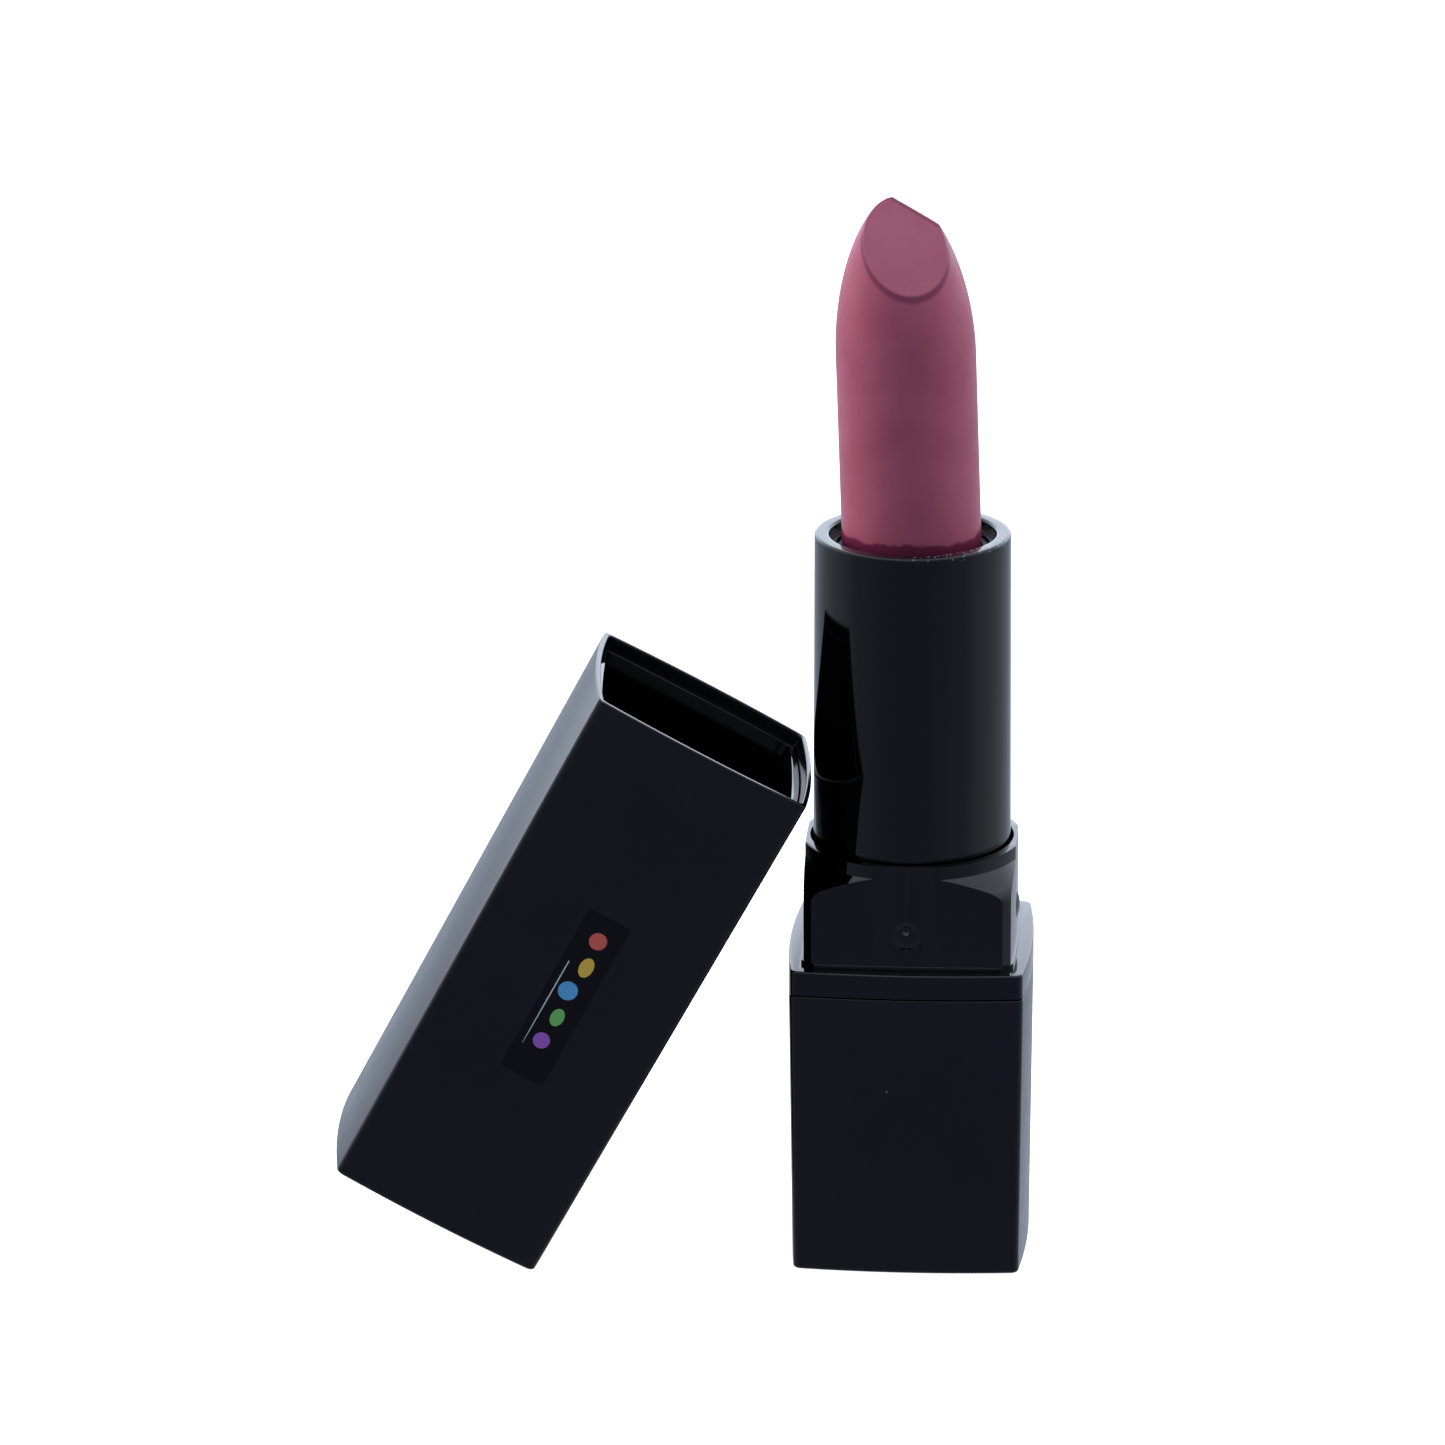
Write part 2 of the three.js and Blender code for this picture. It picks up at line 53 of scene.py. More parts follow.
# Outlines: how far the middle of a side stands out past its corners, and how round the corners are.
CASE_OUTLINE = {"crown": 0.54 * MM, "corner": 0.4 * MM}
NECK_OUTLINE = {"crown": 0.25 * MM, "corner": 0.3 * MM}
SIDE_STEPS = 24
CORNER_STEPS = 8
BASE_DRAFT = 0.26 * MM
BASE_WALL = 1.05 * MM
BASE_FLOOR = 1.5 * MM
FOOT_EDGE = 0.35 * MM
SEAM = 0.08 * MM  # the fine line between the base and the flange
SHARP_EDGE = 0.06 * MM
FLANGE_EDGE = 0.18 * MM
EDGE_STEPS = 6
ROUND_STEPS = 256
WELD = 0.001 * MM
CREASE_WELD = 0.002 * MM

# The collar.
FLANGE_HEIGHT = 2.2 * MM
FLANGE_STEP = 1.45 * MM
SKIRT_GAP = 0.1 * MM
PLINTH_STEP = 0.2 * MM
PLINTH_HEIGHT = 0.4 * MM
RING_WALL = 0.72 * MM
RING_HEIGHT = 1.15 * MM
NECK_REACH = 3 * MM  # from the middle of a flat side out to the round corners
SHOULDER_SLOPE = math.radians(31)
SHOULDER_ROUND = 1.4 * MM
TUBE_GAP = 0.27 * MM
BEAD_RADIUS = 1.25 * MM
BEAD_HEIGHT = 0.26 * MM
BEAD_DROP = 6.3 * MM
BEAD_STEPS = 48
PIT_RADIUS = 0.53 * MM
PIT_RISE = 0.6 * MM  # above the bead's middle
PIT_OUT = 0.25 * MM  # from the bead's top out to the middle of the ball that dents it
CREASE = 0.09 * MM

# The tube and the bullet.
TUBE_DRAFT = 0.13 * MM
TUBE_WALL = 0.4 * MM
LIP_REACH = 1.3 * MM
LIP_HEIGHT = 0.9 * MM
RIM_ROUND = 0.28 * MM
TURN_STEPS = 160
NOSE_HEIGHT = 13.87 * MM
NOSE_STEPS = 36
NOSE_CROWDING = 1.6  # the power that draws its rings towards the tip
BULLET_STEPS = 128
NOSE_ALONG = 1.92  # the two powers that shape the nose
NOSE_ACROSS = 0.58
NOSE_BOW = 0.35 * MM  # how far the tip is off the axis
NOSE_BOW_WAY = math.radians(28.9)
BULLET_OUT = 15.9 * MM
# The slanted face and the small second cut by its tip: tilt, turn, and the rise of the plane on the
# axis above the tube's rim.
FACE_CUT = (math.radians(45.4), math.radians(11.9), 27.35 * MM)
TRIM_CUT = (math.radians(32.1), math.radians(111.8), 28.94 * MM)
CUT_ROUND = 0.12 * MM
BULLET_LEAN = math.radians(1.84)
LEAN_FROM = 2.1 * MM  # below the carrier's rim
# Painted shade: the wax's dark tone just above the tube's rim.
WAX_FOOT_SHADE = (0.15, 0.016, 0.052)
# Painted shade: the dark tone under the edges of the bullet's cut faces.
WAX_CUT_SHADE = (0.23, 0.040, 0.080)
CUT_SHADE_WIDTH = 0.42 * MM
TRIM_SHADE_WIDTH = 0.3 * MM
# Down from a cut, as shares of its band of painted shade: where the shade starts, is full, and starts to
# fade.
SHADE_START = 0.05
SHADE_FULL = 0.2
SHADE_FADE = 0.6
FOOT_SHADE = 0.35 * MM  # above the tube's rim, where the painted shade at the foot of the wax ends
FOOT_WAVE = 0.22 * MM
FOOT_FADE = 0.12 * MM
SCUFF_SPACING = 0.3 * MM
SCUFF_DEPTH = 0.5 * MM
SCUFF_SIZE = 0.22  # specks are sized as shares of their spacing
SCUFF_SHARE = 0.5
SCUFF_COLOUR = (0.30, 0.31, 0.34)
CARRIER_SUNK = 1.3 * MM

# The cap.
CAP_DRAFT = 0.36 * MM
CAP_EDGE = 0.4 * MM
CAP_WALL = 0.5 * MM
CAP_END_WALL = 1.5 * MM
CAP_LENGTH = 49 * MM
MOUTH_FLARE = 0.15 * MM
MOUTH_EDGE = 0.13 * MM
LINER_SUNK = 1.2 * MM
LINER_GAP = 0.1 * MM
LINER_BORE_GAP = 0.15 * MM
LINER_DRAFT = 0.35 * MM
LINER_END = 2.4 * MM
NECK_HEIGHT = 9.4 * MM

# The label's middle on the cap, and its print.
LABEL_LIFT = 0.15 * MM  # from the cap's face to the film's
LABEL_ALONG = 24.05 * MM
LABEL_ACROSS = 0.1 * MM
PRINT_THICK = 0.02 * MM
PRINT_STEPS = 48

# Surfaces.
DUST_SPACING = 1.6 * MM
DUST_SIZE = 0.03
DUST_COLOUR = (0.35, 0.36, 0.38)
SPECK_EDGE = 1.6  # where a speck ends, times its size
SPREAD = (0.3, 0.7)  # where most values of a noise lie
NARROW_SPREAD = (0.35, 0.65)
WAX_ROUGH = (0.32, 0.46)

# Where the parts stand, from the frame.
collar_low, collar_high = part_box("collar")
case_half = collar_high.x
neck_top = collar_high.z
flange_top = neck_top - NECK_HEIGHT
flange_foot = flange_top - FLANGE_HEIGHT
base_top = flange_foot - SEAM
foot_half = case_half - BASE_DRAFT
neck_half = case_half - FLANGE_STEP
base_inside = foot_half - BASE_WALL
tube_low, tube_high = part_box("outer_tube")
tube_foot_radius = tube_high.x
tube_radius = tube_foot_radius - TUBE_DRAFT
rim_height = tube_high.z
lean_height = rim_height - CARRIER_SUNK - LEAN_FROM
bullet_low, bullet_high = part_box("bullet")
bullet_radius = bullet_high.x
cap_end_half = case_half - CAP_DRAFT
cap_bore = cap_end_half - CAP_WALL
mouth_bore = case_half - CAP_WALL
cap_joint = next(j for j in frame["joints"] if j["name"] == "cap_tip")


def cap_place():
    """The matrix that lays an upright cap, closed end on the origin, where the frame has it."""
    axis = Vector(cap_joint["axis"])
    turn = Matrix.Rotation(math.atan2(axis.x, -axis.y), 4, "Z")
    lean = Matrix.Rotation(math.radians(cap_joint["range_deg"][1]), 4, "Y")
    turned = turn @ lean
    pivot = Vector((cap_end_half - CAP_EDGE, 0, CAP_EDGE))
    return Matrix.Translation(Vector(cap_joint["pos_m"]) - turned @ pivot) @ turned


# ---------------------------------------------------------------- shapes

def arc(centre, height, radius, start, steps=EDGE_STEPS, sweep=RIGHT_ANGLE):
    """Points (across, height) of a round edge, from the angle start."""
    turns = [start + sweep * i / steps for i in range(steps + 1)]
    return [(centre + radius * math.cos(a), height + radius * math.sin(a)) for a in turns]


def crowned_outline(bm, half, crown, corner):
    """A flat square face with crowned sides and round corners, and its boundary edges."""
    made = bmesh.ops.create_circle(bm, cap_ends=False, segments=4, radius=half * math.sqrt(2))
    bmesh.ops.rotate(bm, verts=made["verts"], matrix=Matrix.Rotation(RIGHT_ANGLE / 2, 3, "Z"))
    bmesh.ops.subdivide_edges(bm, edges=bm.edges[:], cuts=SIDE_STEPS - 1)
    reach = half - crown
    for vert in bm.verts:
        x, y = vert.co.x, vert.co.y
        along = min(abs(x), abs(y)) / half
        sign_x = math.copysign(1, x)
        sign_y = math.copysign(1, y)
        side = half - crown * along ** 2
        if abs(x) > abs(y):
            vert.co = (sign_x * side, sign_y * along * reach, 0)
        else:
            vert.co = (sign_x * along * reach, sign_y * side, 0)
    bmesh.ops.contextual_create(bm, geom=bm.edges[:])
    corners = sorted(bm.verts, key=lambda vert: vert.co.length)[-4:]
    bmesh.ops.bevel(
        bm, geom=corners, offset=corner, segments=CORNER_STEPS, profile=0.5,
        affect="VERTICES", material=-1)
    return [edge for edge in bm.edges if edge.is_boundary]


def extrude_rings(bm, edges, profile, half):
    """Carries a closed boundary through a profile of (half width, height) and returns the last one."""
    here = (half, 0.0)
    for across, height in profile:
        made = bmesh.ops.extrude_edge_only(bm, edges=edges)["geom"]
        verts = [part for part in made if isinstance(part, bmesh.types.BMVert)]
        scale = across / here[0]
        bmesh.ops.scale(bm, verts=verts, vec=(scale, scale, 1))
        bmesh.ops.translate(bm, verts=verts, vec=(0, 0, height - here[1]))
        edges = [part for part in made if isinstance(part, bmesh.types.BMEdge)]
        here = (across, height)
    return edges


def crowned_solid(profile, outline):
    """A closed body with the same outline at each (half width, height) of its profile."""
    bm = bmesh.new()
    half, height = profile[0]
    edges = crowned_outline(bm, half, **outline)
    bmesh.ops.translate(bm, verts=bm.verts[:], vec=(0, 0, height))
    shifted = [(across, level - height) for across, level in profile[1:]]
    last = extrude_rings(bm, edges, shifted, half)
    bmesh.ops.contextual_create(bm, geom=last)
    bmesh.ops.recalc_face_normals(bm, faces=bm.faces[:])
    return bm


def turned_solid(profile, steps=TURN_STEPS):
    """A closed body of revolution about Z from (radius, height) points; ends lie on the axis or meet."""
    bm = bmesh.new()
    closed = profile[0] == profile[-1]
    points = profile[:-1] if closed else profile
    verts = [bm.verts.new((radius, 0, height)) for radius, height in points]
    pairs = list(zip(verts, verts[1:]))
    if closed:
        pairs.append((verts[-1], verts[0]))
    for pair in pairs:
        bm.edges.new(pair)
    bmesh.ops.spin(
        bm, geom=bm.verts[:] + bm.edges[:], cent=(0, 0, 0), axis=(0, 0, 1),
        angle=2 * math.pi, steps=steps, use_merge=True)
    bmesh.ops.remove_doubles(bm, verts=bm.verts[:], dist=WELD)
    bmesh.ops.recalc_face_normals(bm, faces=bm.faces[:])
    return bm


def mesh_object(name, bm):
    mesh = bpy.data.meshes.new(name)
    bm.to_mesh(mesh)
    bm.free()
    piece = bpy.data.objects.new(name, mesh)
    bpy.context.scene.collection.objects.link(piece)
    return piece


def finish_piece(name, bm, body, material, nodes=(), sharp=35, place=None):
    """Turns a bmesh into a shaded piece that rides on a body and stands for its CAD nodes."""
    if place is not None:
        bm.transform(place)
    piece = mesh_object(name, bm)
    shade(piece.data, sharp)
    piece.data.materials.append(material)
    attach(piece, body)
    if nodes:
        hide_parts(*nodes)
    return piece


def shade(mesh, sharp):
    mesh.shade_smooth()
    mesh.set_sharp_from_angle(angle=math.radians(sharp))


def combine(name, first, *steps):
    """Joins and cuts solids in turn; each step is (operation, bmesh). Returns the result as a bmesh."""
    body = mesh_object(name, first)
    tools = []
    for operation, bm in steps:
        tool = mesh_object(name + "_tool", bm)
        cut = body.modifiers.new(operation, "BOOLEAN")
        cut.operation = operation
        cut.solver = "EXACT"
        cut.object = tool
        tools.append(tool)
    shaped = body.evaluated_get(bpy.context.evaluated_depsgraph_get())
    made = bmesh.new()
    made.from_mesh(shaped.to_mesh())
    for thing in [body, *tools]:
        bpy.data.meshes.remove(thing.data)
    return made


def soften_creases(bm, width, least=25, segments=3):
    """Rounds every edge that folds by more than a least angle."""
    bmesh.ops.remove_doubles(bm, verts=bm.verts[:], dist=CREASE_WELD)
    folds = [e for e in bm.edges if e.is_manifold and e.calc_face_angle(0) > math.radians(least)]
    bmesh.ops.bevel(
        bm, geom=folds, offset=width, segments=segments, profile=0.5, affect="EDGES",
        clamp_overlap=True, material=-1)
    return bm


# ---------------------------------------------------------------- materials

def new_material(name):
    material = bpy.data.materials.new(name)
    material.use_nodes = True
    nodes = material.node_tree.nodes
    return material, nodes, material.node_tree.links, nodes["Principled BSDF"]


def noise(nodes, links, size, detail=3.0, roughness=0.55):
    """Noise whose features are about one size, in metres, fixed to the piece."""
    place = nodes.new("ShaderNodeTexCoord")
    grain = nodes.new("ShaderNodeTexNoise")
    grain.inputs["Scale"].default_value = 1 / size
    grain.inputs["Detail"].default_value = detail
    grain.inputs["Roughness"].default_value = roughness
    links.new(place.outputs["Object"], grain.inputs["Vector"])
    return grain.outputs["Fac"]


def remap(nodes, links, value, low, high, out_low, out_high):
    step = nodes.new("ShaderNodeMapRange")
    step.inputs["From Min"].default_value = low
    step.inputs["From Max"].default_value = high
    step.inputs["To Min"].default_value = out_low
    step.inputs["To Max"].default_value = out_high
    links.new(value, step.inputs["Value"])
    return step.outputs["Result"]


def mix_colour(nodes, links, factor, first, second):
    blend = nodes.new("ShaderNodeMix")
    blend.data_type = "RGBA"
    links.new(factor, blend.inputs["Factor"])
    for socket, colour in (("A", first), ("B", second)):
        target = next(s for s in blend.inputs if s.name == socket and s.type == "RGBA")
        if isinstance(colour, tuple):
            target.default_value = (*colour, 1)
        else:
            links.new(colour, target)
    return next(s for s in blend.outputs if s.type == "RGBA")


def dust(nodes, links, spacing, size, share):
    """A mask of sparse fine specks."""
    place = nodes.new("ShaderNodeTexCoord")
    cells = nodes.new("ShaderNodeTexVoronoi")
    cells.inputs["Scale"].default_value = 1 / spacing
    links.new(place.outputs["Object"], cells.inputs["Vector"])
    near = remap(nodes, links, cells.outputs["Distance"], size, size * SPECK_EDGE, 1, 0)
    pick = nodes.new("ShaderNodeSeparateColor")
    links.new(cells.outputs["Color"], pick.inputs["Color"])
    chosen = calculate(nodes, links, "GREATER_THAN", pick.outputs["Red"], 1 - share)
    return times(nodes, links, near, chosen)


def calculate(nodes, links, operation, first, second):
    """One step of arithmetic on a value and another value or a plain number."""
    step = nodes.new("ShaderNodeMath")
    step.operation = operation
    links.new(first, step.inputs[0])
    if isinstance(second, float):
        step.inputs[1].default_value = second
    else:
        links.new(second, step.inputs[1])
    return step.outputs["Value"]


def add(nodes, links, first, second):
    return calculate(nodes, links, "ADD", first, second)


def times(nodes, links, first, second):
    return calculate(nodes, links, "MULTIPLY", first, second)


def coordinates(nodes, links):
    """The X, Y and Z of a point of the piece, as sockets."""
    place = nodes.new("ShaderNodeTexCoord")
    way = nodes.new("ShaderNodeSeparateXYZ")
    links.new(place.outputs["Object"], way.inputs["Vector"])
    return way.outputs


def height_above(nodes, links, level):
    """How far a point is above a level of the upright case."""
    return add(nodes, links, coordinates(nodes, links)["Z"], -level)


def relief(nodes, links, height, strength, distance):
    bump = nodes.new("ShaderNodeBump")
    bump.inputs["Strength"].default_value = strength
    bump.inputs["Distance"].default_value = distance
    links.new(height, bump.inputs["Height"])
    return bump.outputs["Normal"]


def rim_scuffs(nodes, links):
    """Fine pale scuffs on the front of the tube's rim, right of the middle."""
    marks = dust(nodes, links, SCUFF_SPACING, SCUFF_SIZE, SCUFF_SHARE)
    risen = height_above(nodes, links, rim_height - SCUFF_DEPTH)
    near_rim = remap(nodes, links, risen, 0, SCUFF_DEPTH, 0, 1)
    way = coordinates(nodes, links)
    right = remap(nodes, links, way["X"], -MM, MM, 0, 1)
    front = remap(nodes, links, way["Y"], -MM, MM, 1, 0)
    corner = times(nodes, links, right, front)
    return times(nodes, links, times(nodes, links, marks, near_rim), corner)


def plastic(name, dark, light, rough, level, grain, grain_depth, specks=0.0, scuffed=False):
    """Moulded plastic: slow colour drift, uneven gloss, fine grain and a little dust."""
    material, nodes, links, shader = new_material(name)
    drift = remap(nodes, links, noise(nodes, links, 6 * MM), *NARROW_SPREAD, 0, 1)
    colour = mix_colour(nodes, links, drift, dark, light)
    if specks:
        mask = dust(nodes, links, DUST_SPACING, DUST_SIZE, specks)
        colour = mix_colour(nodes, links, mask, colour, DUST_COLOUR)
    if scuffed:
        colour = mix_colour(nodes, links, rim_scuffs(nodes, links), colour, SCUFF_COLOUR)
    links.new(colour, shader.inputs["Base Color"])
    gloss = noise(nodes, links, 2.5 * MM, 5)
    links.new(remap(nodes, links, gloss, *SPREAD, *rough), shader.inputs["Roughness"])
    shader.inputs["Specular IOR Level"].default_value = level
    fine = noise(nodes, links, grain, 2)
    links.new(relief(nodes, links, fine, 0.35, grain_depth), shader.inputs["Normal"])
    return material


def cut_normal(tilt, turn):
    """The way a cut faces: up, leaned towards the front, then turned about Z."""
    return Matrix.Rotation(turn, 3, "Z") @ Vector((0, -math.sin(tilt), math.cos(tilt)))


def cut_shade_band(nodes, links, cut, width):
    """A band of painted shade of a given width just under one of the bullet's cuts, after the bullet's
    lean.
    """
    tilt, turn, rise = cut
    normal = cut_normal(tilt, turn)
    slope = math.tan(BULLET_LEAN)
    leaned = Vector((normal.x, normal.y, normal.z + normal.x * slope))
    level = normal.z * (rim_height + rise) + normal.x * slope * lean_height
    place = nodes.new("ShaderNodeTexCoord")
    along = nodes.new("ShaderNodeVectorMath")
    along.operation = "DOT_PRODUCT"
    along.inputs[1].default_value = leaned
    links.new(place.outputs["Object"], along.inputs[0])
    depth = add(nodes, links, along.outputs["Value"], -level)
    under = remap(nodes, links, depth, -SHADE_FULL * width, -SHADE_START * width, 1, 0)
    near = remap(nodes, links, depth, -width, -SHADE_FADE * width, 0, 1)
    return times(nodes, links, under, near)


def wax(name, dark, light, foot, cut_shade):
    """Lipstick wax with faint pour streaks and a soft skin; painted shade darkens it just above the
    tube's rim and in bands under its cut faces.
    """
    material, nodes, links, shader = new_material(name)
    drift = remap(nodes, links, noise(nodes, links, 5 * MM), *SPREAD, 0, 1)
    colour = mix_colour(nodes, links, drift, dark, light)
    # Painted shade: the wax is darkened in a wavy band just above the tube's rim.
    waves = noise(nodes, links, 2.2 * MM, 2)
    shift = remap(nodes, links, waves, *SPREAD, -FOOT_WAVE, FOOT_WAVE)
    above = add(nodes, links, height_above(nodes, links, rim_height + FOOT_SHADE), shift)
    low = remap(nodes, links, above, -FOOT_FADE, FOOT_FADE, 1, 0)
    colour = mix_colour(nodes, links, low, colour, foot)
    # Painted shade: dark bands under the edges of the two cut faces stand in for the shading of a groove
    # there.
    colour = mix_colour(nodes, links, cut_shade_band(nodes, links, FACE_CUT, CUT_SHADE_WIDTH), colour, cut_shade)
    colour = mix_colour(nodes, links, cut_shade_band(nodes, links, TRIM_CUT, TRIM_SHADE_WIDTH), colour, cut_shade)
    links.new(colour, shader.inputs["Base Color"])
    gloss = noise(nodes, links, 1.8 * MM, 4)
    links.new(remap(nodes, links, gloss, *SPREAD, *WAX_ROUGH), shader.inputs["Roughness"])
    shader.inputs["Specular IOR Level"].default_value = 0.4
    shader.inputs["Subsurface Weight"].default_value = 0.12
    shader.inputs["Subsurface Radius"].default_value = (1.0, 0.3, 0.4)
    shader.inputs["Subsurface Scale"].default_value = 0.9 * MM
    fine = noise(nodes, links, 0.25 * MM, 4)
    links.new(relief(nodes, links, fine, 0.25, 0.02 * MM), shader.inputs["Normal"])
    return material


def metal(name, dark, light, rough):
    material, nodes, links, shader = new_material(name)
    drift = remap(nodes, links, noise(nodes, links, 1.5 * MM, 6), *SPREAD, 0, 1)
    links.new(mix_colour(nodes, links, drift, dark, light), shader.inputs["Base Color"])
    shader.inputs["Metallic"].default_value = 1
    gloss = noise(nodes, links, 0.4 * MM, 5)
    links.new(remap(nodes, links, gloss, *SPREAD, *rough), shader.inputs["Roughness"])
    return material


satin_black = plastic(
    "satin_black", (0.0010, 0.0011, 0.0018), (0.0018, 0.0019, 0.0028), (0.17, 0.22), 0.5,
    0.12 * MM, 0.002 * MM, specks=0.02)
GLOSS = (
    (0.0005, 0.0005, 0.0008), (0.0009, 0.0009, 0.0013), (0.04, 0.07), 0.5,
    0.8 * MM, 0.002 * MM, 0.008)
gloss_black = plastic("gloss_black", *GLOSS)
tube_black = plastic("tube_black", *GLOSS, scuffed=True)
inner_black = plastic(
    "inner_black", (0.006, 0.006, 0.007), (0.010, 0.010, 0.011), (0.35, 0.5), 0.4,
    0.1 * MM, 0.006 * MM)
natural_plastic = plastic(
    "natural_plastic", (0.55, 0.55, 0.52), (0.66, 0.66, 0.63), (0.4, 0.5), 0.5,
    0.1 * MM, 0.006 * MM)
silicone = plastic(
    "soft_silicone", (0.025, 0.025, 0.03), (0.035, 0.035, 0.04), (0.55, 0.7), 0.4,
    0.1 * MM, 0.006 * MM)
label_black = plastic(
    "label_film", (0.0012, 0.0012, 0.0014), (0.002, 0.002, 0.0022), (0.1, 0.16), 0.3,
    0.3 * MM, 0.002 * MM)
slug_steel = metal("slug_steel", (0.38, 0.39, 0.41), (0.5, 0.51, 0.53), (0.28, 0.42))
lip_wax = wax("lip_wax", (0.37, 0.076, 0.124), (0.425, 0.097, 0.152), WAX_FOOT_SHADE, WAX_CUT_SHADE)
inks = {
    name: plastic("ink_" + name, dark, light, (0.25, 0.35), 0.4, 0.2 * MM, 0.002 * MM)
    for name, dark, light in (
        ("coral", (0.62, 0.10, 0.08), (0.70, 0.13, 0.10)),
        ("gold", (0.72, 0.48, 0.06), (0.80, 0.55, 0.08)),
        ("sky", (0.08, 0.36, 0.66), (0.10, 0.42, 0.74)),
        ("leaf", (0.16, 0.50, 0.12), (0.20, 0.58, 0.15)),
        ("violet", (0.34, 0.12, 0.56), (0.40, 0.15, 0.64)),
        ("pale", (0.62, 0.64, 0.66), (0.70, 0.72, 0.74)),
    )}


# ---------------------------------------------------------------- pieces

def make_base():
    profile = [
        *arc(foot_half - FOOT_EDGE, FOOT_EDGE, FOOT_EDGE, -RIGHT_ANGLE, 10),
        *arc(case_half - SHARP_EDGE, base_top - SHARP_EDGE, SHARP_EDGE, 0, 3),
        *arc(base_inside + SHARP_EDGE, base_top - SHARP_EDGE, SHARP_EDGE, RIGHT_ANGLE, 3),
        (base_inside, BASE_FLOOR),
    ]
    finish_piece(
        "base_case", crowned_solid(profile, CASE_OUTLINE), "base",
        satin_black, ["base_shell"])


def neck_shell():
    """The neck's round shell: its corners turn in through the shoulder to the ring."""
    ring = tube_foot_radius + TUBE_GAP + RING_WALL
    outside = neck_half + NECK_REACH
    shoulder_top = neck_top - RING_HEIGHT
    leave = RIGHT_ANGLE - SHOULDER_SLOPE
    reach = SHOULDER_ROUND * math.tan(leave / 2)
    level = shoulder_top - (outside - ring) * math.tan(SHOULDER_SLOPE) - reach
    return turned_solid([
        (0, flange_foot),
        (outside, flange_foot),
        *arc(outside - SHOULDER_ROUND, level, SHOULDER_ROUND, 0, 12, leave),
        (ring, shoulder_top),
        (ring, neck_top),
        (0, neck_top),
    ], ROUND_STEPS)


def neck_solid():
    plinth_half = neck_half + PLINTH_STEP
    plinth_top = flange_top + PLINTH_HEIGHT
    plinth_edge = arc(plinth_half - SHARP_EDGE, plinth_top - SHARP_EDGE, SHARP_EDGE, 0, 3)
    foot = flange_foot + FLANGE_EDGE
    plinth = crowned_solid([(plinth_half, foot), *plinth_edge], NECK_OUTLINE)
    sides = crowned_solid([(neck_half, foot), (neck_half, neck_top + MM)], NECK_OUTLINE)
    return combine("neck", sides, ("UNION", plinth), ("INTERSECT", neck_shell()))


def bead(side):
    sphere = (BEAD_RADIUS ** 2 + BEAD_HEIGHT ** 2) / (2 * BEAD_HEIGHT)
    open_angle = math.asin(BEAD_RADIUS / sphere)
    dome = arc(0, neck_half + BEAD_HEIGHT - sphere, sphere, RIGHT_ANGLE - open_angle, 6, open_angle)
    root = tube_foot_radius + TUBE_GAP + SHARP_EDGE
    top = (0, neck_half + BEAD_HEIGHT)
    bm = turned_solid([(0, root), (BEAD_RADIUS, root), *dome[:-1], top], BEAD_STEPS)
    bm.transform(side_place(side))
    return bm


def side_place(side):
    """Stands a turned shape out of the middle of a flat side, at the beads' height."""
    stand = Matrix.Rotation(RIGHT_ANGLE, 4, "X")
    turn = Matrix.Rotation(side * RIGHT_ANGLE, 4, "Z")
    return Matrix.Translation((0, 0, neck_top - BEAD_DROP)) @ turn @ stand


def pit(side):
    bm = bmesh.new()
    bmesh.ops.create_uvsphere(bm, u_segments=32, v_segments=20, radius=PIT_RADIUS)
    out = neck_half + BEAD_HEIGHT + PIT_OUT
    bmesh.ops.translate(bm, verts=bm.verts[:], vec=(0, PIT_RISE, out))
    bm.transform(side_place(side))
    return bm


def make_collar():
    bore = tube_foot_radius + TUBE_GAP
    skirt_half = base_inside - SKIRT_GAP
    flange = crowned_solid([
        (skirt_half, collar_low.z),
        (skirt_half, flange_foot),
        (case_half - SHARP_EDGE, flange_foot),
        (case_half, flange_foot + SHARP_EDGE),
        *arc(case_half - FLANGE_EDGE, flange_top - FLANGE_EDGE, FLANGE_EDGE, 0, 5),
    ], CASE_OUTLINE)
    drill_foot = collar_low.z - MM
    drill_top = neck_top + MM
    drill = turned_solid(
        [(0, drill_foot), (bore, drill_foot), (bore, drill_top), (0, drill_top)], ROUND_STEPS)
    neck = soften_creases(neck_solid(), CREASE)
    bm = combine(
        "collar", flange, ("UNION", neck),
        *[("UNION", bead(side)) for side in range(4)],
        *[("DIFFERENCE", pit(side)) for side in range(4)], ("DIFFERENCE", drill))
    finish_piece("collar_band", bm, "base", gloss_black, ["collar"], sharp=30)


def make_tube():
    bore = tube_radius - TUBE_WALL
    lip = tube_radius - LIP_REACH
    profile = [
        (bore, tube_low.z),
        (tube_foot_radius, tube_low.z),
        (tube_foot_radius, neck_top),
        *arc(tube_radius - RIM_ROUND, rim_height - RIM_ROUND, RIM_ROUND, 0, 8),
        *arc(lip + RIM_ROUND, rim_height - RIM_ROUND, RIM_ROUND, RIGHT_ANGLE, 8),
        (lip, rim_height - LIP_HEIGHT),
        (bore, rim_height - LIP_HEIGHT),
        (bore, tube_low.z),
    ]
    finish_piece(
        "tube_sleeve", turned_solid(profile), "swivel", tube_black,
        ["outer_tube"])


def nose_profile(shoulder):
    steps = [i / NOSE_STEPS for i in range(NOSE_STEPS)]
    risen = [1 - (1 - step) ** NOSE_CROWDING for step in steps]
    return [
        (bullet_radius * (1 - t ** NOSE_ALONG) ** NOSE_ACROSS, shoulder + NOSE_HEIGHT * t)
        for t in risen]


